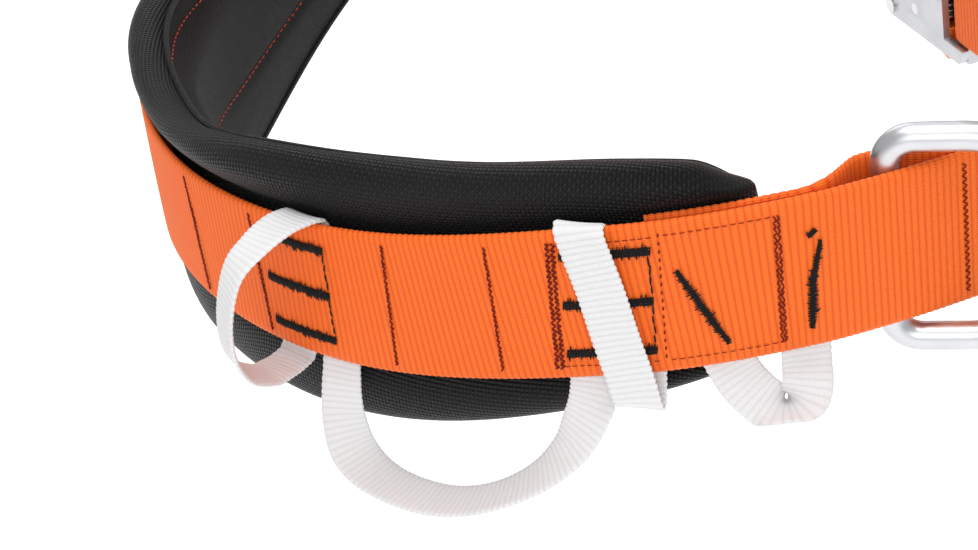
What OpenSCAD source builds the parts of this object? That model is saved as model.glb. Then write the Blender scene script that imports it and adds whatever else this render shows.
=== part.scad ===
// Tree climbing saddle: the padded waist belt, its gear loops, side rings and front closure.
// The belt is drawn as worn. X is the wearer's right, Y is forward and Z is up.
// The origin is on the lining, at the middle of the wearer's back.

/* [Belt plan] */
// Radius of the band behind the back
back_r = 143; // [115:1:180]
// Angle that the back arc turns through
back_turn = 34; // [28:1:38]
// Radius of the band over the flank
flank_r = 330; // [280:5:400]
// Angle that the flank arc turns through
flank_turn = 17.5; // [14:0.5:20]
// Radius of the band at the side
side_r = 95; // [80:1:115]
// Angle that the side arc turns through
side_turn = 36; // [30:1:40]
// Radius of the band over the hip
hip_r = 400; // [340:5:480]
// Angle that the hip arc turns through
hip_turn = 8; // [6:0.5:10]
// Radius of the front corner
corner_r = 72; // [62:1:86]
// Height that the band climbs from the back to the hips
climb = 20; // [0:1:30]
// Lean of the band's top towards the body at the sides
lean_side = 3; // [0:0.5:6]

/* [Webbing] */
// Width of the belt webbing
band_w = 45; // [38:1:54]
// Thickness of the main band
band_t = 2.4; // [1.8:0.1:3]
// Thickness of the front strap
strap_t = 1.8; // [1.4:0.1:2.2]
// Room between the layers of webbing
layer_gap = 0.2; // [0.1:0.05:0.4]
// Room between the band and the ends of the gear loops
tail_gap = 0.5; // [0.4:0.05:0.8]
// Distance round the belt from the back to where the front strap's sewn end begins
strap_start = 196; // [190:1:202]
// Distance round the belt from the back to the main band's end
band_end = 300; // [290:1:310]

/* [Pad] */
// Distance round the belt from the back to the pad's end
pad_end = 226; // [200:1:232]
// Thickness of the pad
pad_t = 11; // [9:0.5:14]
// Thickness of the outer cover
cover_t = 1.2; // [0.8:0.1:1.6]
// Thickness of the mesh lining
lining_t = 0.9; // [0.6:0.1:1.2]
// Thickness of the stiffener in the back
plate_t = 1.5; // [1:0.1:2]
// Height of the stiffener
plate_h = 40; // [30:1:52]
// Reach of the stiffener on each side of the back
plate_reach = 150; // [110:5:175]
// Amount by which the pad's margins stand out past its middle
margin_puff = 1.6; // [0:0.1:2]
// Radius of the piping along the rims
piping_r = 0.9; // [0.6:0.1:1.2]

/* [Gear loops] */
// Width of the gear loop webbing
loop_w = 14; // [11:0.5:16]
// Thickness of the gear loop webbing
loop_t = 1.4; // [1:0.1:1.6]
// Length of the long loop's drop below the band
long_drop = 37; // [28:1:46]
// Length of the short loop's drop below the band
short_drop = 20; // [16:1:26]
// Distance that the open loop stands out from the band
ring_reach = 30; // [24:1:36]

/* [Side rings] */
// Distance round the belt from the back to the ring's straight bar
ring_at = 262; // [256:1:268]
// Radius of the ring's round section
ring_r = 4; // [3.2:0.1:4.5]
// Room between the ring and the band's edges
ring_room = 3.5; // [2.5:0.5:6]
// Length of the ring's straight sides
ring_leg = 12; // [6:1:20]
// Angle between the ring and the band
ring_splay = 32; // [25:1:60]

/* [Buckle] */
// Thickness of each housing plate
shell_t = 2.5; // [2:0.1:3]
// Room between the two housing plates
shell_room = 6; // [5.6:0.1:7]
// Width of the tongue's head
head_w = 28; // [24:1:30]
// Thickness of the tongue
tongue_t = 3; // [2.4:0.1:3.2]
// Radius of the lever pins
pin_r = 2; // [1.6:0.1:2.4]
// Radial clearance of the levers on their pins
pin_clear = 0.05; // [0.02:0.01:0.08]
// Radius of the two webbing bars
bar_r = 2.2; // [1.8:0.1:2.4]
// Width of the elastic keepers
keeper_w = 13; // [10:1:14]
// Thickness of the elastic keepers
keeper_t = 1; // [0.8:0.1:1.4]
// Length of the webbing's free tail
tail_l = 120; // [100:5:140]

/* [Thread] */
// Width of the bartacks
bartack_w = 3; // [2:0.5:4]
// Height of the thread above the webbing
thread_h = 0.5; // [0.4:0.05:0.6]

/* [Hidden] */

right = 1;
left = -1;
station = 12;
climb_from = 84;
climb_over = 154;
lean_over = 200;
half_band = band_w / 2;
arc_radii = [back_r, flank_r, side_r, hip_r, corner_r];
arc_turns = [back_turn, flank_turn, side_turn, hip_turn,
    180 - back_turn - flank_turn - side_turn - hip_turn];

// Layers, measured outwards from the main band's outer face
tail_mid = -band_t - tail_gap - loop_t / 2;
strap_mid = -band_t - tail_gap - loop_t - layer_gap - strap_t / 2;
pad_out = strap_mid - strap_t / 2 - 2 * layer_gap;
pad_in = pad_out - pad_t;
foam_out = pad_out - cover_t - plate_t - 3 * layer_gap;
foam_in = pad_in + lining_t + layer_gap;

// Start of each arc: distance, x, y and heading
function arc_start(i) = i == 0 ? [0, 0, 0, 0]
    : let (p = arc_start(i - 1), r = arc_radii[i - 1], h = p[3] + arc_turns[i - 1])
    [p[0] + r * arc_turns[i - 1] * PI / 180, p[1] + r * (sin(h) - sin(p[3])),
        p[2] - r * (cos(h) - cos(p[3])), h];
arcs = [for (i = [0:5]) arc_start(i)];
front_mid = arcs[5][0] + arcs[5][1];

function side(s) = s < 0 ? -1 : 1;
function ease(t) = let (c = min(max(t, 0), 1)) c * c * (3 - 2 * c);
function arc_of(a, i = 0) = i == 5 || a < arcs[i + 1][0] ? i : arc_of(a, i + 1);
function plan(s) = let (a = abs(s), i = arc_of(a), p = arcs[i])
    i == 5 ? [side(s) * (p[1] - a + p[0]), p[2], side(s) * 180]
    : let (r = arc_radii[i], h = p[3] + (a - p[0]) / r * 180 / PI)
    [side(s) * (p[1] + r * (sin(h) - sin(p[3]))), p[2] - r * (cos(h) - cos(p[3])), side(s) * h];
function lean(s) = lean_side * ease(abs(s) / lean_over);
function lift(s) = climb * ease((abs(s) - climb_from) / climb_over);

// A point on the belt: distance round it from the back, height on the band, distance outwards
function at(s, u, o) = let (p = plan(s), f = lean(s), out = o * cos(f) - u * sin(f))
    [p[0] + sin(p[2]) * out, p[1] - cos(p[2]) * out + pad_in, lift(s) + u * cos(f) + o * sin(f)];
function way_along(s) = let (h = plan(s)[2]) [cos(h), sin(h), 0];
function way_up(s) = at(s, 1, 0) - at(s, 0, 0);
function way_out(s) = at(s, 0, 1) - at(s, 0, 0);
function unit(v) = v / norm(v);
function spread(from, to, step = station) =
    let (n = ceil(abs(to - from) / step)) [for (i = [0:n]) from + (to - from) * i / n];

// Smooth curve through points, with a few steps between each two
function spline_at(a, b, c, d, t) = 0.5 * (2 * b + (c - a) * t + (2 * a - 5 * b + 4 * c - d) * t * t
    + (3 * b - a - 3 * c + d) * t * t * t);
function smooth_path(p, steps) = let (n = len(p) - 1)
    [for (i = [0:n - 1]) for (k = [0:steps - 1])
        spline_at(p[max(i - 1, 0)], p[i], p[i + 1], p[min(i + 2, n)], k / steps), p[n]];
// Height of a rim between its knots, level where it crosses the back
function slope_at(k, i) = i == 0 ? 0 : let (n = min(i + 1, len(k) - 1))
    (k[n][1] - k[i - 1][1]) / (k[n][0] - k[i - 1][0]);
function height_at(k, s, i = 0) = i < len(k) - 2 && s >= k[i + 1][0] ? height_at(k, s, i + 1)
    : let (l = k[i + 1][0] - k[i][0], t = (s - k[i][0]) / l)
    k[i][1] + (k[i + 1][1] - k[i][1]) * ease(t)
        + l * t * (1 - t) * (slope_at(k, i) * (1 - t) - slope_at(k, i + 1) * t);

// Pad rims: distance from the back, height above or below the band's middle line
top_rim = [[0, 35], [70, 44], [140, 42], [205, 36], [pad_end, half_band + 1.5]];
low_rim = [[0, 45], [80, 45], [140, 41], [205, 31], [pad_end, half_band + 1.5]];
function rim_top(s) = height_at(top_rim, abs(s));
function rim_low(s) = height_at(low_rim, abs(s));

// Closed solid through rings of points
module skin(rings, closed = false) {
    n = len(rings);
    m = len(rings[0]);
    sides = [for (i = [0:n - (closed ? 1 : 2)]) for (j = [0:m - 1])
        let (k = (j + 1) % m, next = (i + 1) % n * m, a = i * m + j, b = i * m + k,
            c = next + k, d = next + j)
        each [[a, b, c], [a, c, d]]];
    caps = closed ? [] : [[for (j = [m - 1:-1:0]) j], [for (j = [0:m - 1]) (n - 1) * m + j]];
    polyhedron([for (r = rings) each r], concat(sides, caps), convexity = 10);
}

// Webbing laid along a line of [distance, outward] points, at one height on the belt
module webbing(path, w, t, mid = 0) {
    n = len(path) - 1;
    skin([for (i = [0:n])
        let (d = unit(path[min(i + 1, n)] - path[max(i - 1, 0)]), k = [-d[1], d[0]] * t / 2, p = path[i])
        [at(p[0] + k[0], mid - w / 2, p[1] + k[1]), at(p[0] + k[0], mid + w / 2, p[1] + k[1]),
            at(p[0] - k[0], mid + w / 2, p[1] - k[1]), at(p[0] - k[0], mid - w / 2, p[1] - k[1])]]);
}

// Webbing that turns in space. Each point has distance, height, outward and a turn of its width.
// The tip raises the inner edge where the width is turned across the belt
module tape(path, w, t, hand, tip = 0) {
    p = smooth_path(path, 3);
    n = len(p) - 1;
    q = [for (v = p) at(hand * v[0], v[1], v[2])];
    skin([for (i = [0:n])
        let (d = unit(q[min(i + 1, n)] - q[max(i - 1, 0)]), s = hand * p[i][0],
            wide = hand * cos(p[i][3]) * way_along(s)
                + sin(p[i][3]) * (cos(tip) * way_out(s) + sin(tip) * way_up(s)),
            a = unit(wide - (wide * d) * d) * w / 2, b = cross(d, unit(a)) * t / 2)
        hand > 0 ? [q[i] - a - b, q[i] - a + b, q[i] + a + b, q[i] + a - b]
            : [q[i] + a - b, q[i] + a + b, q[i] - a + b, q[i] - a - b]]);
}

// Round cord through points
module cord(q, r, sides, closed = false) {
    n = len(q) - 1;
    skin([for (i = [0:n])
        let (d = unit(q[min(i + 1, n)] - q[max(i - 1, 0)]),
            a = unit(cross(d, [0.1, 0.2, 1])), b = cross(d, a))
        [for (j = [0:sides - 1]) q[i] + r * (cos(360 * j / sides) * a + sin(360 * j / sides) * b)]], closed);
}

// ---- Pad ----

function puff(s, rim) = margin_puff * ease((rim - half_band - 4) / 8);
// Outline of the pad across the belt, drawn in by a wall's thickness
function pad_ring(s, wall, back) = let (
        up = rim_top(s) - wall, low = rim_low(s) - wall, o = pad_out - wall,
        pu = puff(s, up), pl = puff(s, low),
        bu = min(half_band + 3, up - 2.5), bl = min(half_band + 3, low - 2.5))
    [at(s, -low, back), at(s, -low, o + pl - 3), at(s, 2 - low, o + pl), at(s, -bl, o + pl),
        at(s, 3 - bl, o), at(s, bu - 3, o), at(s, bu, o + pu), at(s, up - 2, o + pu),
        at(s, up, o + pu - 3), at(s, up, back)];

module pad_outer_cover() {
    color("#1c1c1e") skin([for (s = spread(-pad_end, pad_end))
        concat(pad_ring(s, 0, pad_in), [for (i = [9:-1:0]) pad_ring(s, cover_t, pad_in)[i]])]);
}

module pad_foam_core() {
    reach = pad_end - 3;
    wall = cover_t + 2 * layer_gap;
    color("#4a4a4c") skin([for (s = spread(-reach, reach))
        let (up = rim_top(s) - wall, low = rim_low(s) - wall)
        [at(s, -low, foam_in), at(s, -low, foam_out - 1), at(s, 1 - low, foam_out),
            at(s, up - 1, foam_out), at(s, up, foam_out - 1), at(s, up, foam_in)]]);
}

module pad_mesh_lining() {
    reach = pad_end - 1;
    wall = cover_t + 2 * layer_gap;
    color("#161618") skin([for (s = spread(-reach, reach))
        let (up = rim_top(s) - wall, low = rim_low(s) - wall)
        [at(s, -low, pad_in), at(s, -low, pad_in + lining_t), at(s, up, pad_in + lining_t),
            at(s, up, pad_in)]]);
}

module lumbar_stiffener() {
    o = foam_out + layer_gap + plate_t / 2;
    color("#d8d8d4")
        webbing([for (s = spread(-plate_reach, plate_reach)) [s, o]], plate_h, plate_t);
}

module rim_piping() {
    color("#2a2a2c") {
        o = pad_in - piping_r - 0.1;
        cord([for (s = spread(-pad_end, pad_end)) at(s, rim_top(s) - cover_t / 2, o)], piping_r, 6);
        cord([for (s = spread(-pad_end, pad_end)) at(s, cover_t / 2 - rim_low(s), o)], piping_r, 6);
    }
}

// ---- Belt webbing ----

module main_band() {
    color("#f26a1b")
        webbing([for (s = spread(-band_end, band_end)) [s, -band_t / 2]], band_w, band_t);
}

// Pocket of the front strap that goes round behind the ring's bar
ring_mid = -band_t - 0.3 - ring_r;
pocket_mid = ring_mid - ring_r - 0.3 - strap_t / 2;
pocket = [[ring_at - 18, strap_mid], [ring_at - 12, (strap_mid + pocket_mid) / 2],
    [ring_at - 6, pocket_mid], [ring_at, pocket_mid - 0.1], [ring_at + 6, pocket_mid],
    [ring_at + 12, (strap_mid + pocket_mid) / 2], [ring_at + 18, strap_mid]];

// Half turn of webbing round a bar
turn_r = bar_r + layer_gap + strap_t / 2;
function half_turn(s, o, from, to) = [for (i = [0:6]) let (a = from + (to - from) * i / 6)
    [s + turn_r * cos(a), o + turn_r * sin(a)]];

// From the sewn end, round behind the ring's bar, to a front bar that it comes to from one side of its middle
function strap_run(bar_s, approach) = let (from = arcs[5][0] - 60) concat(
    [for (s = spread(strap_start, ring_at - 22)) [s, strap_mid]], pocket,
    [for (s = spread(ring_at + 22, from - 10)) [s, strap_mid]],
    [for (s = spread(from, bar_s - 10)) [s, strap_mid + approach * turn_r * ease((s - from) / 50)]],
    half_turn(bar_s, strap_mid, approach * 90, -approach * 90));

strap_bar_x = 38;
slider_x = 30;
sewn_back = 44;
module front_strap_right() {
    bar_s = front_mid - strap_bar_x;
    color("#ee6416") webbing(concat(strap_run(bar_s, 1),
        [for (s = spread(bar_s - 8, bar_s - sewn_back)) [s, strap_mid - turn_r]]), band_w, strap_t);
}

module front_strap_left() {
    bar_s = front_mid - slider_x;
    tail = [for (s = spread(bar_s - 8, bar_s - tail_l)) [s, strap_mid + turn_r]];
    path = concat(strap_run(bar_s, -1), tail);
    color("#ee6416") webbing([for (i = [len(path) - 1:-1:0]) [-path[i][0], path[i][1]]], band_w, strap_t);
}

// ---- Stitching, on the band's outer face ----

// A row of thread from one [distance, height] point to another
module thread_row(a, b, w, hand) {
    d = unit(b - a);
    k = [-d[1], d[0]] * w / 2;
    n = ceil(norm(b - a) / station);
    skin([for (i = [0:n]) let (p = a + (b - a) * i / n, l = p - k, r = p + k)
        hand > 0 ? [at(l[0], l[1], thread_h), at(r[0], r[1], thread_h),
                at(r[0], r[1], thread_base), at(l[0], l[1], thread_base)]
            : [at(-l[0], l[1], thread_base), at(-r[0], r[1], thread_base),
                at(-r[0], r[1], thread_h), at(-l[0], l[1], thread_h)]]);
}

thread_base = 0.16;
zigzag_w = 1.6;
box_w = 0.8;
box_from = strap_start + 0.6;
box_to = strap_start + 32;
module cross_stitches(hand) {
    reach = half_band - 3;
    color("#a52a10") {
        for (s = [32, 66.5, 114, 149, 166.5]) thread_row([s, reach], [s, -reach], zigzag_w, hand);
        thread_row([box_to, reach], [box_to, -reach], zigzag_w, hand);
        thread_row([box_from, reach], [box_from, -reach], zigzag_w, hand);
        for (u = [reach - 1, 1 - reach]) thread_row([box_from + 1, u], [box_to - 1, u], box_w, hand);
        for (s = [band_end - 18, band_end - 6]) thread_row([s, reach], [s, -reach], zigzag_w, hand);
    }
}

// Three bars and their joining thread at the start and end of the long loop
tack_rows = [half_band - 7.5, 0, 7.5 - half_band];
tack_low = 6.5 - half_band;
first_tack = [69.5, 93];
second_tack = [169, 194.5];
module bartacks(hand) {
    color("#161618") {
        for (tack = [first_tack, second_tack]) {
            for (u = tack_rows) thread_row([tack[0], u], [tack[1], u - 0.6], bartack_w, hand);
            for (i = [0, 1]) thread_row([tack[1] - 0.5, tack_rows[i] - bartack_w / 2 - 0.7],
                [tack[1] - 0.5, tack_rows[i + 1] + bartack_w / 2 - 0.5], box_w, hand);
        }
        thread_row([201, 8], [213.5, tack_low], bartack_w, hand);
        thread_row([239, 8], [235, tack_low], bartack_w, hand);
        thread_row([236.4, 11.6], [239, 12.4], bartack_w - 1, hand);
    }
}

// ---- Gear loops: distance, height, outward and turn of the width ----

edge = half_band + 1.2;
drop = half_band + long_drop;
dip = half_band + short_drop;
// Room that the loops need beside each other when their webbing is wider than the drawn 14
widening = loop_w - 14;
open_at = 80 - widening;
flat_at = 188.9 + widening;
short_at = 213 + 2 * widening;
open_path = [[open_at + 6, edge + 1.2, 1.6, 0], [open_at + 5, edge + 2, 8, 0],
    [open_at + 4, edge - 1, ring_reach * 0.6, 0], [open_at + 2, 15, ring_reach * 0.86, 0],
    [open_at, 2, ring_reach, 0], [open_at - 2, -12, ring_reach * 0.97, 0],
    [open_at - 4, -edge + 1, ring_reach * 0.78, 0], [open_at - 5, -edge - 7, ring_reach * 0.45, 0],
    [open_at - 6, -edge - 7, ring_reach * 0.22, 0], [open_at - 6.5, -edge - 4, 3, 0]];
long_path = [[91, -edge, tail_mid, 0], [91.5, -edge - 9, tail_mid + 1, 0], [93.5, -edge - 19, 0, 18],
    [99, -drop + 7, 4, 45], [109, 1 - drop, 8, 72], [121, -drop - 1.4, 11, 86], [134, -drop - 2, 12, 90],
    [147, -drop, 11, 94], [159, 4 - drop, 8, 108], [168, 12 - drop, 4, 135], [173, -edge - 14, 0, 162],
    [175, -edge - 6, tail_mid + 1, 180], [175, -edge, tail_mid, 180]];
flat_path = [[175.5, edge + 2.4, 0.4, 0], [176, edge + 1, 2.1, 0], [177.4, half_band - 4, 1.9, 0],
    [180.6, 6, 1.9, 0], [184, -10, 1.9, 0], [flat_at - 1.9, -half_band, 2, 0],
    [flat_at - 0.5, -edge - 8, 2.3, 0], [flat_at, -edge - 12, 1.2, 0]];
short_path = [[short_at, -edge - 1.2, tail_mid, 0], [short_at + 1, -edge - 3.5, tail_mid + 0.4, 4],
    [short_at + 3, -edge - 6.6, tail_mid + 1, 10], [short_at + 6.4, 8 - dip, 0, 30],
    [short_at + 10, 3.6 - dip, 2.4, 60], [short_at + 14.4, 2 - dip, 3.6, 90],
    [short_at + 19, 4.4 - dip, 2.6, 122], [short_at + 22, 9 - dip, 0.6, 152],
    [short_at + 23, -edge - 5, tail_mid + 1, 174], [short_at + 23, -edge, tail_mid, 180]];
long_tip = -20;
short_tip = 62;

module gear_loop(path, hand, tip = 0) {
    color("#f2f2f2") tape(path, loop_w, loop_t, hand, tip);
}

// Ends of the loops, between the band and the pad, where the bartacks go through them
tail_tip = 17;
module loop_tails(hand) {
    out = 1.8;
    color("#ececec") {
        if (hand == right) {
            tape([[open_at + 4.4, 0, tail_mid, 0], [open_at + 5.4, 12, tail_mid, 0],
                [open_at + 6, half_band, tail_mid, 0], [open_at + 6, edge + 1.1, -2, 0],
                [open_at + 6, edge + 1.3, -1.4, 0]], loop_w, loop_t, hand);
            tape([[open_at - 6.5, -edge - 3.4, 0, 0], [open_at - 6.5, -edge - 3, -1.8, 0],
                [open_at - 6.4, -edge, tail_mid - 0.1, 0], [open_at - 5, -tail_tip, tail_mid, 0],
                [open_at - 4, -3, tail_mid, 0]], loop_w, loop_t, hand);
        }
        tape([[91, 0, tail_mid, 0], [91, -12, tail_mid, 0], [91, out - edge, tail_mid, 0]],
            loop_w, loop_t, hand);
        tape([[175, 0, tail_mid, 0], [175, -12, tail_mid, 0], [175, out - edge, tail_mid, 0]],
            loop_w - 1.4, loop_t, hand);
        tape([[175.5, edge + 2, -1.2, 0], [175.5, edge + 1, tail_mid + 0.8, 0],
            [176, half_band - 2, tail_mid, 0], [177, 8, tail_mid, 0], [177, 2, tail_mid, 0]],
            loop_w, loop_t, hand);
        tape([[flat_at, -edge - 11.4, -1.8, 0], [flat_at, -edge - 8, -2.6, 0],
            [flat_at, -edge, tail_mid, 0], [flat_at, -12, tail_mid, 0], [flat_at, 0, tail_mid, 0]],
            loop_w - 1, loop_t, hand);
        tape([[short_at - 12, 6, tail_mid, 0], [short_at - 6, -8, tail_mid, 0],
            [short_at - 0.4, out - edge, tail_mid, 0]], loop_w, loop_t, hand);
        tape([[short_at + 25.6, 8, tail_mid, 0], [short_at + 24, -8, tail_mid, 0],
            [short_at + 23.2, out - edge, tail_mid, 0]], loop_w, loop_t, hand);
    }
}

// ---- Side rings ----

// Bar, two legs and a half round, lying in the plane from the bar forwards
ring_half = half_band + ring_room + ring_r;
corner = 8;
module ring_shape() {
    leg = ring_leg;
    module bar(from, way, l) translate(from) rotate(way) cylinder(r = ring_r, h = l, $fn = 48);
    module turn(mid, r, from, a) translate(mid) rotate([90, 0, 0]) rotate([0, 0, from])
        rotate_extrude(angle = a, $fn = 48) translate([r, 0]) circle(r = ring_r, $fn = 32);
    bar([0, 0, corner - ring_half], [0, 0, 0], 2 * (ring_half - corner));
    for (z = [-1, 1]) {
        turn([corner, 0, z * (ring_half - corner)], corner, z > 0 ? 90 : 180, 90);
        bar([corner, 0, z * ring_half], [0, 90, 0], leg);
    }
    turn([corner + leg, 0, 0], ring_half, -90, 180);
}

// Stands the ring on its bar at the side of the belt
module at_ring(hand) {
    s = hand * ring_at;
    x = hand * way_along(s);
    z = way_up(s);
    y = cross(z, x);
    p = at(s, 0, ring_mid);
    multmatrix([[x[0], y[0], z[0], p[0]], [x[1], y[1], z[1], p[1]], [x[2], y[2], z[2], p[2]]])
        rotate([0, 0, -hand * ring_splay]) children();
}

module side_ring(hand) {
    color("#b9bcc0") at_ring(hand) ring_shape();
}

// ---- Front closure: X to the wearer's right, Y outwards, Z up, from the webbing's middle ----

module at_front() {
    translate(at(front_mid, 0, strap_mid)) rotate([lean_side, 0, 0]) children();
}

plate_half = half_band + 6.5;
window_half = half_band + 1;
mouth_x = -8;
window_x = 31;
end_x = 43;
head_half = head_w / 2;
pivot = [12, head_half + 6];
spring_x = 24;
spring_r = 1.9;
wire_r = 0.4;
seat_z = head_half - 4;
spring_top = head_half + 5.6;
rivet_r = 1.6;
rivet_spots = [[-4.5, plate_half - 4], [-4.5, 4 - plate_half], [18, 0]];
mouth_block = [7, 8.5];
seat_block = [15.5, 11.5];
bar_block_w = 9;

// Plate in the X and Z plane, with its outer face at y
module flat_plate(y, t) {
    translate([0, y, 0]) rotate([90, 0, 0]) linear_extrude(t) children();
}

module plate_outline() {
    r = 4;
    difference() {
        union() {
            translate([mouth_x + r, -plate_half]) square([end_x - mouth_x - 2 * r, 2 * plate_half]);
            translate([mouth_x, -plate_half + r]) square([end_x - mouth_x, 2 * (plate_half - r)]);
            for (x = [mouth_x + r, end_x - r]) for (z = [-1, 1])
                translate([x, z * (plate_half - r)]) circle(r = r, $fn = 48);
        }
        translate([window_x, -window_half]) square([end_x, 2 * window_half]);
        for (p = rivet_spots) translate(p) circle(r = rivet_r, $fn = 32);
        for (z = [-1, 1]) translate([pivot[0], z * pivot[1]]) circle(r = pin_r, $fn = 32);
    }
}

module buckle_back_plate() {
    color("#9aa0a6") at_front() flat_plate(-shell_room / 2, shell_t) plate_outline();
}

module buckle_front_plate() {
    color("#c3c7cb") at_front() flat_plate(shell_room / 2 + shell_t, shell_t) plate_outline();
}

// Blocks that hold the plates apart: two beside the mouth, one behind the tongue, two at the bar
module buckle_spacers() {
    color("#8d9196") at_front() {
        for (z = [0, 1]) flat_plate(shell_room / 2, shell_room) mirror([0, z]) difference() {
            translate([mouth_x, plate_half - mouth_block[1]]) square(mouth_block);
            translate(rivet_spots[0]) circle(r = rivet_r, $fn = 32);
        }
        flat_plate(shell_room / 2, shell_room) difference() {
            translate([seat_block[0], -seat_z]) square([seat_block[1], 2 * seat_z]);
            translate(rivet_spots[2]) circle(r = rivet_r, $fn = 32);
        }
        for (z = [0, 1]) mirror([0, 0, z]) difference() {
            flat_plate(shell_room / 2, shell_room) translate([strap_bar_x - bar_block_w / 2, window_half])
                square([bar_block_w, plate_half - window_half]);
            translate([strap_bar_x, 0, 0])
                cylinder(r = bar_r, h = 2 * plate_half + 2, center = true, $fn = 32);
        }
    }
}

module buckle_rivets() {
    color("#d0d2d4") at_front() for (p = rivet_spots) translate([p[0], 0, p[1]]) rotate([90, 0, 0]) {
        cylinder(r = rivet_r, h = shell_room + 2 * shell_t, center = true, $fn = 32);
        for (z = [-1, 1]) translate([0, 0, z * (shell_room / 2 + shell_t + 0.4)])
            cylinder(r = rivet_r + 1.1, h = 0.8, center = true, $fn = 32);
    }
}

module buckle_strap_bar() {
    color("#8d9196") at_front() translate([strap_bar_x, 0, 0])
        cylinder(r = bar_r, h = 2 * plate_half, center = true, $fn = 32);
}

lever_t = shell_room - 1;
grip = plate_half + 3;
grip_x = 30.4;
lever_outline = [[1, head_half - 2.6], [4.4, head_half - 2.6], [4.8, head_half + 1.6],
    [14, head_half + 1.8], [20, head_half + 5], [grip_x - 1, head_half + 7.5], [grip_x, head_half + 10],
    [grip_x, grip], [grip_x - 3, grip + 1.6], [14, grip - 1.5], [4, grip - 6], [1.4, head_half + 8]];
module release_lever(z) {
    color("#ff7a1f") at_front() mirror([0, 0, z > 0 ? 0 : 1]) difference() {
        flat_plate(lever_t / 2, lever_t) difference() {
            polygon(lever_outline);
            translate(pivot) circle(r = pin_r + pin_clear, $fn = 48);
        }
        translate([spring_x, 0, spring_top - 1]) cylinder(r = spring_r + 0.5, h = 3, $fn = 32);
    }
}

module lever_pins() {
    color("#d0d2d4") at_front() for (z = [-1, 1]) translate([pivot[0], 0, z * pivot[1]])
        rotate([90, 0, 0]) cylinder(r = pin_r, h = shell_room + 2 * shell_t, center = true, $fn = 32);
}

module lever_spring(z) {
    turns = 5;
    low = seat_z + wire_r + 0.05;
    high = spring_top + 1.6;
    color("#c8c8c8") at_front() mirror([0, 0, z > 0 ? 0 : 1])
        cord([for (i = [0:turns * 10]) let (a = i * 36)
            [spring_x + spring_r * cos(a), spring_r * sin(a), low + (high - low) * i / (turns * 10)]],
            wire_r, 6);
}

// Tongue: a head with two notches that the levers hook, and a frame for the adjustable webbing
frame_end = -52;
frame_in = -12;
frame_window = 6;
notch = [-0.6, 6.4];
module buckle_tongue() {
    r = 3;
    hook_depth = 4;
    seat = [2 * bar_r + 4.4, 2.7];
    color("#b9bdc1") at_front() flat_plate(tongue_t / 2, tongue_t) difference() {
        union() {
            translate([frame_end + r, -plate_half]) square([frame_in - frame_end - 2 * r, 2 * plate_half]);
            translate([frame_end, -plate_half + r]) square([frame_in - frame_end, 2 * (plate_half - r)]);
            for (x = [frame_end + r, frame_in - r]) for (z = [-1, 1])
                translate([x, z * (plate_half - r)]) circle(r = r, $fn = 48);
            translate([frame_in - 1, -head_half]) square([26, head_w]);
        }
        translate([frame_end + frame_window, -window_half])
            square([frame_in - frame_end - frame_window - 9, 2 * window_half]);
        for (z = [0, 1]) mirror([0, z]) {
            translate([notch[0], head_half - hook_depth]) square([notch[1], hook_depth + 1]);
            translate([-slider_x - seat[0] / 2, window_half - 0.1]) square(seat);
        }
    }
}

module tongue_slider_bar() {
    color("#8d9196") at_front() translate([-slider_x, 0, 0])
        cylinder(r = bar_r, h = 2 * window_half + 4.4, center = true, $fn = 32);
}

// Elastic loop round the strap and its tail
inner_keeper_x = -60;
outer_keeper_x = -83;
module strap_keeper(x) {
    low = -turn_r - strap_t / 2 - 0.4;
    high = turn_r + strap_t / 2 + 0.4;
    room = half_band + 0.6;
    color("#202022") at_front() translate([x, 0, 0]) rotate([0, -90, 0]) linear_extrude(keeper_w)
        difference() {
            translate([-room - keeper_t, low - keeper_t])
                square([2 * (room + keeper_t), high - low + 2 * keeper_t]);
            translate([-room, low]) square([2 * room, high - low]);
        }
}

module strap_end_sleeve() {
    end_s = -(front_mid - slider_x - tail_l);
    o = strap_mid + turn_r;
    wall = 0.8;
    room = 0.3;
    l = 10;
    module shell(w, t, from, to) webbing([for (s = spread(from, to, 4)) [s, o]], w, t);
    color("#202022") difference() {
        shell(band_w + 2 * (room + wall), strap_t + 2 * (room + wall), end_s - l, end_s + wall + room);
        shell(band_w + 2 * room, strap_t + 2 * room, end_s - l - 1, end_s + room);
    }
}

pad_outer_cover();
pad_foam_core();
pad_mesh_lining();
lumbar_stiffener();
rim_piping();
main_band();
front_strap_right();
front_strap_left();
cross_stitches(right);  // cross_stitches_right
cross_stitches(left);  // cross_stitches_left
bartacks(right);  // bartacks_right
bartacks(left);  // bartacks_left
gear_loop(open_path, right);  // open_loop_right
gear_loop(long_path, right, long_tip);  // long_loop_right
gear_loop(long_path, left, long_tip);  // long_loop_left
gear_loop(flat_path, right);  // flat_loop_right
gear_loop(flat_path, left);  // flat_loop_left
gear_loop(short_path, right, short_tip);  // short_loop_right
gear_loop(short_path, left, short_tip);  // short_loop_left
loop_tails(right);  // loop_tails_right
loop_tails(left);  // loop_tails_left
side_ring(right);  // side_ring_right
side_ring(left);  // side_ring_left
buckle_back_plate();
buckle_front_plate();
buckle_spacers();
buckle_rivets();
buckle_strap_bar();
release_lever(1);  // release_lever_upper
release_lever(-1);  // release_lever_lower
lever_pins();
lever_spring(1);  // lever_spring_upper
lever_spring(-1);  // lever_spring_lower
buckle_tongue();
tongue_slider_bar();
strap_keeper(inner_keeper_x);  // strap_keeper_inner
strap_keeper(outer_keeper_x);  // strap_keeper_outer
strap_end_sleeve();
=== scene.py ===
import math
import random
import bmesh
import bpy
import numpy as np
from mathutils import Matrix, Vector


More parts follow.
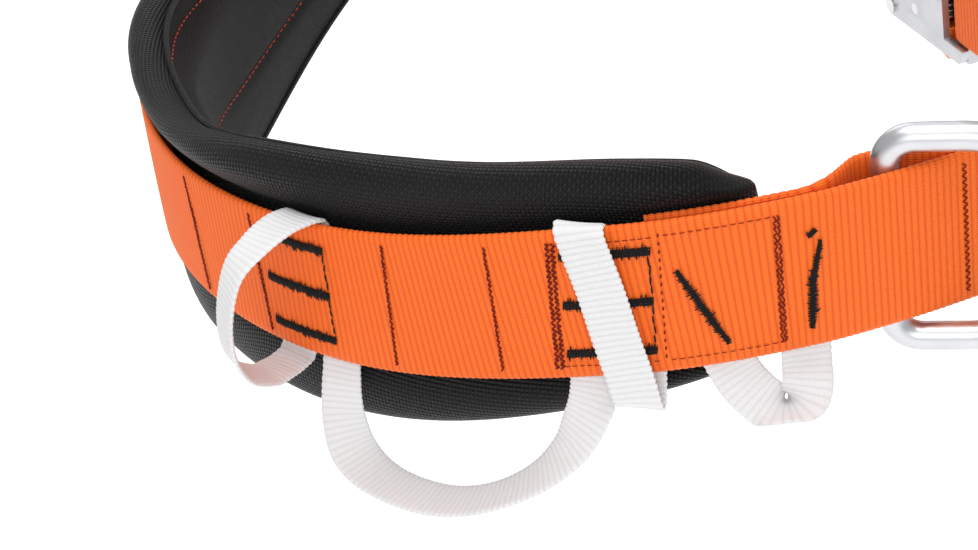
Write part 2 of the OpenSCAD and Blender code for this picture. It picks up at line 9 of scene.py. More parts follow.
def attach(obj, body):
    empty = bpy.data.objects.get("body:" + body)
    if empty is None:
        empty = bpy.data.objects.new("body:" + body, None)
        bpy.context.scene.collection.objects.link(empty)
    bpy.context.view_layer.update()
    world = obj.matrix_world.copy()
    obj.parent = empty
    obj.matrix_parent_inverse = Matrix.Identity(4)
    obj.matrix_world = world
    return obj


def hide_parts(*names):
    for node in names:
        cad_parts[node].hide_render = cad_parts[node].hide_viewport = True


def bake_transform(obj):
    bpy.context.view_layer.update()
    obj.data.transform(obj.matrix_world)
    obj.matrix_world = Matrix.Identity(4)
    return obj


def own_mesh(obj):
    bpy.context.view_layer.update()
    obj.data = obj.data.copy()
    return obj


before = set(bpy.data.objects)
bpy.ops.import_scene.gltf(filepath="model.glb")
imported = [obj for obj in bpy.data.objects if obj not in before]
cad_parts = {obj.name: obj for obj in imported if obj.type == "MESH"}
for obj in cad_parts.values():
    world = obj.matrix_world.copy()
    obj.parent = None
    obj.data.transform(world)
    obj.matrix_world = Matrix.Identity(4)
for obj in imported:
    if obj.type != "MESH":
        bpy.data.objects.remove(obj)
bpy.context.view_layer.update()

scene = bpy.context.scene
random.seed(11)

# Everything sewn is drawn in millimetres as (distance round the belt, height, distance outwards)

belt = {
    "radii": (143, 330, 95, 400, 72),
    "turns": (34, 17.5, 36, 8, 84.5),
    "climb": 20,
    "climbFrom": 84,
    "climbOver": 154,
    "lean": 3,
    "leanOver": 200,
    "lining": 17.7,
    "half": 22.5,
}


def ease(t):
    t = np.clip(t, 0, 1)
    return t * t * (3 - 2 * t)


def arcStarts():
    rows = [(0.0, 0.0, 0.0, 0.0)]
    for radius, turn in zip(belt["radii"], belt["turns"]):
        s, x, y, h = rows[-1]
        a, b = math.radians(h), math.radians(h + turn)
        rows.append((s + radius * math.radians(turn), x + radius * (math.sin(b) - math.sin(a)),
                     y - radius * (math.cos(b) - math.cos(a)), h + turn))
    return np.array(rows)


arcs = arcStarts()
arcRadii = np.array(belt["radii"] + (1e9,), float)
frontMiddle = arcs[5][0] + arcs[5][1]


def beltPlan(s):
    # x, y and heading of the band's line at a distance round the belt
    a = np.abs(s)
    side = np.where(s < 0, -1.0, 1.0)
    i = np.clip(np.searchsorted(arcs[:, 0], a, side="right") - 1, 0, 5)
    start, radius = arcs[i], arcRadii[i]
    h0 = np.radians(start[:, 3])
    h = h0 + (a - start[:, 0]) / radius
    straight = i == 5
    x = np.where(straight, start[:, 1] - a + start[:, 0], start[:, 1] + radius * (np.sin(h) - np.sin(h0)))
    y = np.where(straight, start[:, 2], start[:, 2] - radius * (np.cos(h) - np.cos(h0)))
    h = np.where(straight, math.pi, h)
    return side * x, y, side * h


def onBelt(p):
    # Belt coordinates in millimetres to places in metres
    p = np.atleast_2d(np.asarray(p, float))
    s, u, o = p[:, 0], p[:, 1], p[:, 2]
    x, y, h = beltPlan(s)
    f = np.radians(belt["lean"]) * ease(np.abs(s) / belt["leanOver"])
    out = o * np.cos(f) - u * np.sin(f)
    lift = belt["climb"] * ease((np.abs(s) - belt["climbFrom"]) / belt["climbOver"])
    return np.stack([x + np.sin(h) * out, y - np.cos(h) * out - belt["lining"],
                     lift + u * np.cos(f) + o * np.sin(f)], axis=1) / 1000


def beltWays(s):
    # Unit directions along, up and out at a distance round the belt
    s = np.atleast_1d(np.asarray(s, float))
    zero = np.stack([s, 0 * s, 0 * s], axis=1)
    up = (onBelt(zero + [0, 1, 0]) - onBelt(zero)) * 1000
    out = (onBelt(zero + [0, 0, 1]) - onBelt(zero)) * 1000
    h = beltPlan(s)[2]
    return np.stack([np.cos(h), np.sin(h), 0 * h], axis=1), up, out


def smoothLine(points, steps):
    # Catmull-Rom curve through rows of numbers
    p = np.asarray(points, float)
    p = np.concatenate([[p[0]], p, [p[-1]]])
    t = (np.arange(steps) / steps)[:, None]
    rows = []
    for a, b, c, d in zip(p, p[1:], p[2:], p[3:]):
        rows.append(0.5 * (2 * b + (c - a) * t + (2 * a - 5 * b + 4 * c - d) * t ** 2
                           + (3 * b - a - 3 * c + d) * t ** 3))
    return np.concatenate(rows + [p[-1:]])


def squareTo(wide, ahead):
    wide = wide - (wide * ahead).sum(1)[:, None] * ahead
    return wide / np.linalg.norm(wide, axis=1)[:, None]


def makePath(points, wide):
    # Distance along a line with its width and face directions, for laying webbing on it
    gaps = np.linalg.norm(np.diff(points, axis=0), axis=1)
    along = np.concatenate([[0], np.cumsum(gaps)])
    ahead = np.gradient(points, along, axis=0)
    ahead /= np.linalg.norm(ahead, axis=1)[:, None]
    wide = squareTo(wide, ahead)
    return {"along": along * 1000, "point": points, "wide": wide, "face": np.cross(ahead, wide)}


def bendOn(path, co):
    # Flat webbing in millimetres, x along, y across and z off its face, laid on a path
    def at(rows):
        return np.stack([np.interp(co[:, 0], path["along"], rows[:, k]) for k in range(3)], axis=1)
    return at(path["point"]) + (co[:, 1:2] * at(path["wide"]) + co[:, 2:3] * at(path["face"])) / 1000


merging = {"seams": 0.00001, "parts": 0.000002}


def getCo(mesh):
    co = np.empty(len(mesh.vertices) * 3, np.float32)
    mesh.vertices.foreach_get("co", co)
    return co.reshape(-1, 3).astype(float)


def setCo(mesh, co):
    mesh.vertices.foreach_set("co", co.astype(np.float32).ravel())
    mesh.update()


def setCloth(mesh, values):
    # Where each point lies on the flat cloth, in millimetres, for the weave
    layer = mesh.attributes.new("cloth", "FLOAT_VECTOR", "POINT")
    rows = np.zeros((len(mesh.vertices), 3), np.float32)
    rows[:, :values.shape[1]] = values
    layer.data.foreach_set("vector", rows.ravel())


def makePiece(bm, name, material, smooth=True):
    mesh = bpy.data.meshes.new(name)
    bm.to_mesh(mesh)
    bm.free()
    piece = bpy.data.objects.new(name, mesh)
    scene.collection.objects.link(piece)
    mesh.materials.append(material)
    if smooth:
        mesh.shade_smooth()
    return piece


def turnOutwards(mesh):
    bm = bmesh.new()
    bm.from_mesh(mesh)
    bmesh.ops.recalc_face_normals(bm, faces=bm.faces)
    bm.to_mesh(mesh)
    bm.free()


def flatSlab(along, across):
    # A one by one slab of cloth, divided both ways, with its face at one and its back at nought
    bm = bmesh.new()
    bmesh.ops.create_grid(bm, x_segments=along, y_segments=across, size=0.5)
    grown = bmesh.ops.extrude_face_region(bm, geom=list(bm.faces))
    raised = [v for v in grown["geom"] if isinstance(v, bmesh.types.BMVert)]
    bmesh.ops.translate(bm, verts=raised, vec=(0, 0, 1))
    bmesh.ops.recalc_face_normals(bm, faces=bm.faces)
    return bm


def joinSeams(piece, fill=False):
    # Joins the edges of a rolled cloth where they meet, and turns it outwards
    bm = bmesh.new()
    bm.from_mesh(piece.data)
    bmesh.ops.remove_doubles(bm, verts=bm.verts, dist=merging["seams"])
    if fill:
        bmesh.ops.holes_fill(bm, edges=[e for e in bm.edges if e.is_boundary])
    bmesh.ops.recalc_face_normals(bm, faces=bm.faces)
    bm.to_mesh(piece.data)
    bm.free()
    piece.data.shade_smooth()


def mergedCopy(node):
    bm = bmesh.new()
    bm.from_mesh(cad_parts[node].data)
    bmesh.ops.remove_doubles(bm, verts=bm.verts, dist=merging["parts"])
    return bm


def place(piece, body, slotName, *replaced):
    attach(piece, body)
    dress(piece, slotName, *replaced)


def dress(piece, slotName, *replaced):
    if replaced:
        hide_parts(*replaced)


def addNode(tree, kind, inputs=None, **settings):
    node = tree.nodes.new(kind)
    for key, value in settings.items():
        setattr(node, key, value)
    for key, value in (inputs or {}).items():
        if isinstance(value, bpy.types.NodeSocket):
            tree.links.new(value, node.inputs[key])
        else:
            node.inputs[key].default_value = value
    return node


def calc(tree, operation, a, b=0.0, c=0.0):
    return addNode(tree, "ShaderNodeMath", {0: a, 1: b, 2: c}, operation=operation).outputs[0]


def newGroup(name, inputs, outputs):
    tree = bpy.data.node_groups.new(name, "ShaderNodeTree")
    for socket, kind, value in inputs:
        made = tree.interface.new_socket(name=socket, in_out="INPUT", socket_type=kind)
        if value is not None:
            made.default_value = value
    for socket in outputs:
        tree.interface.new_socket(name=socket, in_out="OUTPUT", socket_type="NodeSocketFloat")
    return tree, tree.nodes.new("NodeGroupInput").outputs, tree.nodes.new("NodeGroupOutput").inputs


def makeWeaveGroup():
    # Plain weave of thick yarns: which yarn is on top, and how high it stands
    tree, given, made = newGroup("plainWeave", [
        ("Cloth", "NodeSocketVector", None), ("Warp Pitch", "NodeSocketFloat", 1.0),
        ("Weft Pitch", "NodeSocketFloat", 1.0)], ["Height", "Warp"])
    split = addNode(tree, "ShaderNodeSeparateXYZ", {0: given["Cloth"]})
    a = calc(tree, "DIVIDE", split.outputs[0], given["Warp Pitch"])
    b = calc(tree, "DIVIDE", split.outputs[1], given["Weft Pitch"])
    cellA, cellB = calc(tree, "FLOOR", a), calc(tree, "FLOOR", b)
    across = [calc(tree, "ABSOLUTE", calc(tree, "SINE", calc(tree, "MULTIPLY", x, math.pi)))
              for x in (a, b)]
    overWarp = calc(tree, "SINE", calc(tree, "MULTIPLY", calc(tree, "ADD", b, cellA), math.pi))
    nextCell = calc(tree, "ADD", cellB, 1.0)
    overWeft = calc(tree, "SINE", calc(tree, "MULTIPLY", calc(tree, "ADD", a, nextCell), math.pi))
    warp = calc(tree, "MULTIPLY", calc(tree, "POWER", across[0], 0.6), calc(tree, "MAXIMUM", overWarp, 0.0))
    weft = calc(tree, "MULTIPLY", calc(tree, "POWER", across[1], 0.6), calc(tree, "MAXIMUM", overWeft, 0.0))
    tree.links.new(calc(tree, "MAXIMUM", warp, weft), made["Height"])
    tree.links.new(calc(tree, "GREATER_THAN", warp, weft), made["Warp"])
    return tree


def makeRibGroup():
    # Ribbed webbing: the groove between ribs, and the fine yarns that cross each rib
    tree, given, made = newGroup("ribbedWeb", [
        ("Cloth", "NodeSocketVector", None), ("Rib Pitch", "NodeSocketFloat", 2.0),
        ("Yarn Pitch", "NodeSocketFloat", 0.7)], ["Groove", "Yarn"])
    split = addNode(tree, "ShaderNodeSeparateXYZ", {0: given["Cloth"]})
    a = calc(tree, "DIVIDE", split.outputs[0], given["Rib Pitch"])
    rib = calc(tree, "ABSOLUTE", calc(tree, "COSINE", calc(tree, "MULTIPLY", a, math.pi)))
    groove = calc(tree, "POWER", calc(tree, "SUBTRACT", 1.0, rib), 1.6)
    slant = calc(tree, "MULTIPLY", calc(tree, "PINGPONG", a, 0.5), 0.9)
    b = calc(tree, "ADD", calc(tree, "DIVIDE", split.outputs[1], given["Yarn Pitch"]), slant)
    yarn = calc(tree, "ABSOLUTE", calc(tree, "SINE", calc(tree, "MULTIPLY", b, math.pi)))
    tree.links.new(groove, made["Groove"])
    tree.links.new(yarn, made["Yarn"])
    return tree


def makeVariationGroup():
    # Slow change of shade over a surface, and fine fuzz
    tree, given, made = newGroup("shadeVariation", [
        ("Place", "NodeSocketVector", None), ("Slow Scale", "NodeSocketFloat", 40.0),
        ("Fine Scale", "NodeSocketFloat", 900.0)], ["Slow", "Fine"])
    for socket, scale, detail in (("Slow", "Slow Scale", 3.0), ("Fine", "Fine Scale", 2.0)):
        noise = addNode(tree, "ShaderNodeTexNoise", {"Vector": given["Place"], "Scale": given[scale],
                                                      "Detail": detail})
        tree.links.new(noise.outputs["Fac"], made[socket])
    return tree


def makeMetalGroup():
    # Tumbled and handled metal: soft smudges and fine straight scratches
    tree, given, made = newGroup("handledMetal", [
        ("Place", "NodeSocketVector", None), ("Scratch Scale", "NodeSocketFloat", 300.0)],
        ["Smudge", "Scratch"])
    smudge = addNode(tree, "ShaderNodeTexNoise", {"Vector": given["Place"], "Scale": 70.0, "Detail": 5.0})
    stretch = addNode(tree, "ShaderNodeMapping", {"Vector": given["Place"], "Scale": (0.08, 1.0, 1.0),
                                                  "Rotation": (0.4, 0.9, 0.3)})
    scratch = addNode(tree, "ShaderNodeTexNoise", {"Vector": stretch.outputs[0],
                                                   "Scale": given["Scratch Scale"], "Detail": 3.0})
    thin = calc(tree, "POWER", scratch.outputs["Fac"], 3.0)
    tree.links.new(smudge.outputs["Fac"], made["Smudge"])
    tree.links.new(thin, made["Scratch"])
    return tree


weaveGroup = makeWeaveGroup()
ribGroup = makeRibGroup()
variationGroup = makeVariationGroup()
metalGroup = makeMetalGroup()


def newMaterial(name, roughness, **shader):
    material = bpy.data.materials.new(name)
    material.use_nodes = True
    tree = material.node_tree
    bsdf = tree.nodes["Principled BSDF"]
    bsdf.inputs["Roughness"].default_value = roughness
    for key, value in shader.items():
        bsdf.inputs[key].default_value = value
    return material, tree, bsdf


def mixColour(tree, factor, a, b):
    node = addNode(tree, "ShaderNodeMix", data_type="RGBA")
    for socket, value in ((0, factor), (6, a), (7, b)):
        if isinstance(value, bpy.types.NodeSocket):
            tree.links.new(value, node.inputs[socket])
        else:
            node.inputs[socket].default_value = value if socket == 0 else (*value, 1)
    return node.outputs[2]


def useGroup(tree, group, inputs):
    return addNode(tree, "ShaderNodeGroup", inputs, node_tree=group).outputs


def bumpFrom(tree, bsdf, height, distance, strength=1.0):
    bump = addNode(tree, "ShaderNodeBump", {"Height": height, "Distance": distance, "Strength": strength})
    tree.links.new(bump.outputs[0], bsdf.inputs["Normal"])


def clothPlace(tree):
    return addNode(tree, "ShaderNodeAttribute", attribute_name="cloth").outputs["Vector"]


def objectPlace(tree):
    return addNode(tree, "ShaderNodeTexCoord").outputs["Object"]


def wovenMaterial(name, look):
    material, tree, bsdf = newMaterial(name, look["roughness"])
    bsdf.inputs["Sheen Weight"].default_value = look["sheen"]
    bsdf.inputs["Sheen Roughness"].default_value = 0.4
    bsdf.inputs["Specular IOR Level"].default_value = look.get("specular", 0.5)
    weave = useGroup(tree, weaveGroup, {"Cloth": clothPlace(tree), "Warp Pitch": look["warp"],
                                        "Weft Pitch": look["weft"]})
    shade = useGroup(tree, variationGroup, {"Place": objectPlace(tree)})
    yarn = mixColour(tree, weave["Warp"], look["weftColour"], look["warpColour"])
    # Where the yarns sink between each other, the colour darkens towards the gap colour: painted shade
    # between the yarns.
    shadedInGaps = mixColour(tree, calc(tree, "POWER", weave["Height"], 0.8), look["gapShadeAndDarkTone"], yarn)
    # The slow tone change also darkens towards the gap colour, which is the cloth's own uneven tone.
    varied = mixColour(tree, calc(tree, "MULTIPLY", shade["Slow"], 0.25), shadedInGaps, look["gapShadeAndDarkTone"])
    tree.links.new(varied, bsdf.inputs["Base Color"])
    fuzz = calc(tree, "MULTIPLY", shade["Fine"], 0.15)
    bumpFrom(tree, bsdf, calc(tree, "ADD", weave["Height"], fuzz), look["depth"])
    return material


def webMaterial(name, look):
    material, tree, bsdf = newMaterial(name, look["roughness"])
    bsdf.inputs["Sheen Weight"].default_value = look["sheen"]
    bsdf.inputs["Specular IOR Level"].default_value = 0.3
    ribs = useGroup(tree, ribGroup, {"Cloth": clothPlace(tree), "Rib Pitch": look["pitch"],
                                     "Yarn Pitch": look["yarn"]})
    shade = useGroup(tree, variationGroup, {"Place": objectPlace(tree), "Slow Scale": 25.0})
    # The grooves between ribs are darkened towards the groove colour: painted shade in the grooves.
    base = mixColour(tree, ribs["Groove"], look["colour"], look["grooveShadeAndDarkTone"])
    # Between the fine crossing yarns the colour darkens again: painted shade between the yarns.
    betweenYarns = calc(tree, "SUBTRACT", 1.0, ribs["Yarn"])
    shadedBetweenYarns = mixColour(tree, calc(tree, "MULTIPLY", betweenYarns, look["yarnShade"]), base,
                        look["grooveShadeAndDarkTone"])
    # The slow tone change darkens towards the same groove colour, which is the webbing's own uneven tone.
    varied = mixColour(tree, calc(tree, "MULTIPLY", shade["Slow"], look["vary"]), shadedBetweenYarns,
                       look["grooveShadeAndDarkTone"])
    tree.links.new(varied, bsdf.inputs["Base Color"])
    height = calc(tree, "ADD", calc(tree, "MULTIPLY", ribs["Yarn"], 0.6),
                  calc(tree, "MULTIPLY", shade["Fine"], 0.4))
    bumpFrom(tree, bsdf, height, look["depth"])
    return material


def threadMaterial(name, light, dark):
    material, tree, bsdf = newMaterial(name, 0.6)
    bsdf.inputs["Specular IOR Level"].default_value = 0.2
    shade = useGroup(tree, variationGroup, {"Place": objectPlace(tree), "Slow Scale": 350.0,
                                            "Fine Scale": 2600.0})
    tree.links.new(mixColour(tree, shade["Slow"], light, dark), bsdf.inputs["Base Color"])
    bumpFrom(tree, bsdf, shade["Fine"], 0.0001)
    return material


def metalMaterial(name, look):
    material, tree, bsdf = newMaterial(name, look["roughness"])
    bsdf.inputs["Metallic"].default_value = 1.0
    wear = useGroup(tree, metalGroup, {"Place": objectPlace(tree), "Scratch Scale": look["scratch"]})
    tree.links.new(mixColour(tree, calc(tree, "MULTIPLY", wear["Smudge"], 0.5), look["colour"], look["dull"]),
                   bsdf.inputs["Base Color"])
    rough = calc(tree, "ADD", calc(tree, "MULTIPLY", wear["Smudge"], 0.25), look["roughness"] - 0.1)
    tree.links.new(calc(tree, "ADD", rough, calc(tree, "MULTIPLY", wear["Scratch"], 0.25)),
                   bsdf.inputs["Roughness"])
    bumpFrom(tree, bsdf, calc(tree, "ADD", wear["Scratch"], calc(tree, "MULTIPLY", wear["Smudge"], 0.3)),
             look["depth"])
    return material


def plasticMaterial(name, colour, grain):
    material, tree, bsdf = newMaterial(name, 0.55)
    shade = useGroup(tree, variationGroup, {"Place": objectPlace(tree), "Fine Scale": grain})
    dull = tuple(0.6 * c for c in colour)
    tree.links.new(mixColour(tree, shade["Slow"], colour, dull), bsdf.inputs["Base Color"])
    bumpFrom(tree, bsdf, shade["Fine"], 0.0002)
    return material


# The gap colour of each woven material is painted shade between its yarns. It is also the darker end of its
# slow tone change.
paint = {
    # In the pad weave the warp is a lighter black than the weft: a painted highlight on the warp dashes.
    "padWeave": wovenMaterial("padWeave", {
        "roughness": 0.45, "sheen": 0.015, "warp": 1.25, "weft": 1.35, "depth": 0.0006, "specular": 0.22,
        "warpColour": (0.011, 0.0112, 0.012), "weftColour": (0.0045, 0.0046, 0.005),
        "gapShadeAndDarkTone": (0.0008, 0.0008, 0.0009)}),
    "liningMesh": wovenMaterial("liningMesh", {
        "roughness": 0.65, "sheen": 0.01, "warp": 1.3, "weft": 0.62, "depth": 0.0006, "specular": 0.2,
        "warpColour": (0.004, 0.004, 0.0045), "weftColour": (0.013, 0.013, 0.014),
        "gapShadeAndDarkTone": (0.0006, 0.0006, 0.0006)}),
    "pipingCord": wovenMaterial("pipingCord", {
        "roughness": 0.5, "sheen": 0.03, "warp": 0.9, "weft": 0.9, "depth": 0.0003, "specular": 0.25,
        "warpColour": (0.017, 0.017, 0.018), "weftColour": (0.012, 0.012, 0.013),
        "gapShadeAndDarkTone": (0.002, 0.002, 0.002)}),
    # The groove colour of each webbing is painted shade in its grooves and between its yarns. It is also the
    # darker end of its slow tone change.
    "orangeWebbing": webMaterial("orangeWebbing", {
        "roughness": 0.62, "sheen": 0.04, "pitch": 2.0, "yarn": 0.68, "depth": 0.00018, "yarnShade": 0.35,
        "vary": 0.22, "colour": (0.96, 0.185, 0.013), "grooveShadeAndDarkTone": (0.76, 0.075, 0.004)}),
    "whiteWebbing": webMaterial("whiteWebbing", {
        "roughness": 0.75, "sheen": 0.05, "pitch": 1.8, "yarn": 0.6, "depth": 0.00015, "yarnShade": 0.12,
        "vary": 0.1, "colour": (0.8, 0.8, 0.81), "grooveShadeAndDarkTone": (0.7, 0.685, 0.69)}),
    "redThread": threadMaterial("redThread", (0.3, 0.014, 0.004), (0.09, 0.004, 0.002)),
    "seamThread": threadMaterial("seamThread", (0.75, 0.12, 0.05), (0.42, 0.03, 0.015)),
    "blackThread": threadMaterial("blackThread", (0.009, 0.009, 0.01), (0.003, 0.003, 0.0035)),
    "ringMetal": metalMaterial("ringMetal", {
        "roughness": 0.3, "scratch": 260.0, "depth": 0.00006, "colour": (0.66, 0.67, 0.69),
        "dull": (0.5, 0.51, 0.53)}),
    "buckleMetal": metalMaterial("buckleMetal", {
        "roughness": 0.34, "scratch": 420.0, "depth": 0.00005, "colour": (0.58, 0.59, 0.61),
        "dull": (0.45, 0.46, 0.48)}),
    "pinSteel": metalMaterial("pinSteel", {
        "roughness": 0.25, "scratch": 500.0, "depth": 0.00003, "colour": (0.7, 0.7, 0.7),
        "dull": (0.55, 0.55, 0.55)}),
    "leverFinish": metalMaterial("leverFinish", {
        "roughness": 0.36, "scratch": 380.0, "depth": 0.00004, "colour": (0.9, 0.22, 0.03),
        "dull": (0.7, 0.13, 0.015)}),
    "keeperElastic": wovenMaterial("keeperElastic", {
        "roughness": 0.7, "sheen": 0.1, "warp": 0.8, "weft": 0.8, "depth": 0.0003,
        "warpColour": (0.018, 0.018, 0.02), "weftColour": (0.014, 0.014, 0.016),
        "gapShadeAndDarkTone": (0.004, 0.004, 0.004)}),
    "sleevePlastic": plasticMaterial("sleevePlastic", (0.02, 0.02, 0.021), 1400.0),
    "foam": plasticMaterial("foam", (0.08, 0.08, 0.085), 700.0),
    "stiffener": plasticMaterial("stiffener", (0.7, 0.7, 0.66), 300.0),
}
print("materials made:", len(paint))

web = {
    "orange": {"width": 45, "pitch": 2.0, "rib": 0.27, "across": 12, "edge": 0.26},
    "white": {"width": 14, "pitch": 1.8, "rib": 0.2, "across": 8, "edge": 0.3},
}
layers = {"band": -1.2, "tail": -3.6, "strap": -5.4}


def wovenStrap(name, path, look, thick, material, cup=0.0, wave=0.0):
    # A flat ribbed strap, cut to the path's length and laid along it
    length = path["along"][-1]
    bm = flatSlab(4 * round(length / look["pitch"]), look["across"])
    piece = makePiece(bm, name, material)
    flat = getCo(piece.data)
    x = (flat[:, 0] + 0.5) * length
    share = np.clip(np.abs(flat[:, 1]) * 2, 0, 1)
    y = np.sign(flat[:, 1]) * (1 - (1 - share) ** 1.6) * look["width"] / 2
    face = np.where(flat[:, 2] > 0.5, 1.0, -1.0)
    rib = np.abs(np.cos(math.pi * x / look["pitch"])) ** 0.8
    toEdge = look["width"] / 2 - np.abs(y)
    rounding = np.sqrt(np.clip(1 - (1 - np.clip(toEdge / (0.7 * thick), 0, 1)) ** 2, 0.12, 1))
    z = face * rounding * (thick / 2 - look["rib"] * (1 - rib))
    z = z + cup * (2 * y / look["width"]) ** 2
    z = z + wave * np.sin(x / 17 + 0.6 * np.sin(x / 41)) * np.sin(y / 14 + x / 60)
    y = y - np.sign(y) * look["edge"] * (1 - rib) * (toEdge < 0.6)
    setCloth(piece.data, np.stack([x, y], axis=1))
    setCo(piece.data, bendOn(path, np.stack([x, y, z], axis=1)))
    return piece


def strapPath(points, steps):
    # Path of belt webbing from points of distance, outwards and, where it differs, height
    line = smoothLine(points, steps)
    height = line[:, 2] if line.shape[1] > 2 else 0 * line[:, 0]
    run = onBelt(np.stack([line[:, 0], height, line[:, 1]], axis=1))
    return makePath(run, beltWays(line[:, 0])[1])


def evenly(a, b, gap):
    return list(np.linspace(a, b, max(2, math.ceil(abs(b - a) / gap) + 1)))


mainBand = wovenStrap("mainBand", strapPath([(s, layers["band"]) for s in evenly(-300, 300, 5)], 3),
                      web["orange"], 2.4, paint["orangeWebbing"], wave=0.18)
place(mainBand, "root", "orange_webbing", "main_band")
print("main band laid")

strap = {
    "start": 196,
    "ringAt": 262,
    "pocket": -12.8,
    "turn": 3.3,
    "barRight": frontMiddle - 38,
    "barLeft": frontMiddle - 30,
    "peek": 1.3,
}


def strapRun(barAt, approach):
    flat, pocket, ring = layers["strap"], strap["pocket"], strap["ringAt"]
    half = (flat + pocket) / 2
    rows = [(s, flat, 0) for s in evenly(strap["start"], ring - 24, 8)]
    rows += [(ring - 18, flat, 1), (ring - 12, half, 1), (ring - 6, pocket, 1), (ring, pocket - 0.1, 1),
             (ring + 6, pocket, 1), (ring + 12, half, 1), (ring + 18, flat, 1)]
    bendFrom = arcs[5][0] - 60
    rows += [(s, flat, 1) for s in evenly(ring + 24, bendFrom - 8, 8)]
    rows += [(s, flat + approach * strap["turn"] * ease((s - bendFrom) / 50), 1)
             for s in evenly(bendFrom, barAt - 6, 6)]
    for i in range(1, 8):
        a = math.radians(approach * (90 - 180 * i / 8))
        rows.append((barAt + strap["turn"] * math.cos(a), flat + strap["turn"] * math.sin(a), 1))
    return rows


def strapRows(rows):
    return [(s, o,
             strap["peek"] * ease((s - 236) / 8) * (1 - ease((s - 300) / 60)) * up) for s, o, up in rows]


rightRows = strapRows(strapRun(strap["barRight"], 1)
                      + [(s, layers["strap"] - strap["turn"], 1)
                         for s in evenly(strap["barRight"] - 2, strap["barRight"] - 44, 6)])
leftRows = strapRows(strapRun(strap["barLeft"], -1)
                     + [(s, layers["strap"] + strap["turn"], 1)
                        for s in evenly(strap["barLeft"] - 2, strap["barLeft"] - 119.5, 6)])
frontStrapRight = wovenStrap("frontStrapRight", strapPath(rightRows, 4), web["orange"], 1.8,
                             paint["orangeWebbing"])
place(frontStrapRight, "root", "orange_webbing", "front_strap_right")
leftRows = [(-s, o, u) for s, o, u in reversed(leftRows)]
frontStrapLeft = wovenStrap("frontStrapLeft", strapPath(leftRows, 4), web["orange"], 1.8,
                            paint["orangeWebbing"])
place(frontStrapLeft, "root", "orange_webbing", "front_strap_left")
print("front straps laid")

edge = belt["half"] + 1.2
drop = 59.5
dip = 42.5
tail = layers["tail"]
loops = {
    "open": {"node": "open_loop", "blend": ((80, 0, 0.5), (80, 0, 8)), "tip": 0, "cup": 0.5,
             "points": [
        (84.4, 0, tail, 0), (85.4, 12, tail, 0), (86, 21, tail, 0), (86, edge - 0.2, -2, 4),
        (85.8, edge + 1, 2, 10), (85, edge + 1.4, 8, 18), (84, edge - 0.5, 17, 26), (82, 18, 24.5, 30),
        (80, 6, 28, 30), (78, -7, 27, 28), (76, -18, 21.5, 24), (75, -edge - 0.6, 13.5, 18),
        (74, -edge - 2.6, 6.6, 10), (73.5, -edge - 3, 1.5, 4), (73.5, -edge - 1.8, -2.4, 0),
        (73.8, -20, tail, 0), (75, -13, tail, 0), (76, -3, tail, 0)]},
    "long": {"node": "long_loop", "blend": ((133, -22.5, 0), (133, -31, 0)), "tip": -6, "cup": 0.3,
             "points": [
        (91, 0, tail, 0), (91, -10, tail, 0), (91, -21, tail, 0), (91.2, -edge - 3, tail + 1.2, 0),
        (92, -edge - 10, 0.2, -6), (93.6, -edge - 18, 2.6, -18), (98, 10 - drop, 5.4, -40),
        (107, 5 - drop, 8, -62), (120, 2.4 - drop, 10, -80), (134, 1.8 - drop, 11, -90),
        (147, 3.8 - drop, 10, -100), (159, 8.4 - drop, 7.4, -118), (168, 15.4 - drop, 4.4, -142),
        (173, -edge - 12, 1.4, -166), (175, -edge - 5, tail + 1.6, -180),
        (175, -20, tail, -180), (175, -10, tail, -180), (175, 0, tail, -180)]},
    "flat": {"node": "flat_loop", "blend": ((182, 0, -1.4), (182, 0, 1.6)), "tip": 0, "cup": 0.3,
             "points": [
        (177, 2, tail, 0), (177, 8, tail, 0), (176.2, 18, tail, 0), (175.5, edge - 1.4, -2.6, 0),
        (175.5, edge + 0.6, 0.2, 0), (176, edge - 1.6, 1.9, 0), (177.4, 16.5, 1.9, 0), (180.6, 5, 1.9, 0),
        (184, -10, 1.9, 0), (186.6, -20.5, 2, 0), (188.2, -edge - 4.6, 2.1, 0), (188.7, -edge - 8.4, 0.8, 0),
        (188.7, -edge - 8, -1.4, 0), (188.7, -edge - 5, -2.8, 0), (188.9, -20, tail, 0),
        (188.9, -12, tail, 0), (188.9, 0, tail, 0)]},
    "short": {"node": "short_loop", "blend": ((224.5, -22.5, 0), (224.5, -29, 0)), "tip": 6, "cup": 0.3,
             "points": [
        (201, 6, tail, 0), (207, -8, tail, 0), (212, -20, tail, 0), (215.6, -edge - 4.6, tail + 1, 0),
        (219.4, 9 - dip, -0.6, 0), (222.8, 5.6 - dip, 1, -4), (225.4, 3.8 - dip, 2.4, -50),
        (228.4, 3.4 - dip, 3, -92), (231.4, 5.4 - dip, 2.6, -140), (233.4, 10 - dip, 0.8, -176),
        (234.4, -edge - 4.6, tail + 1, -180),
        (235, -20, tail, -180), (236.6, -8, tail, -180), (238.6, 8, tail, -180)]},
}


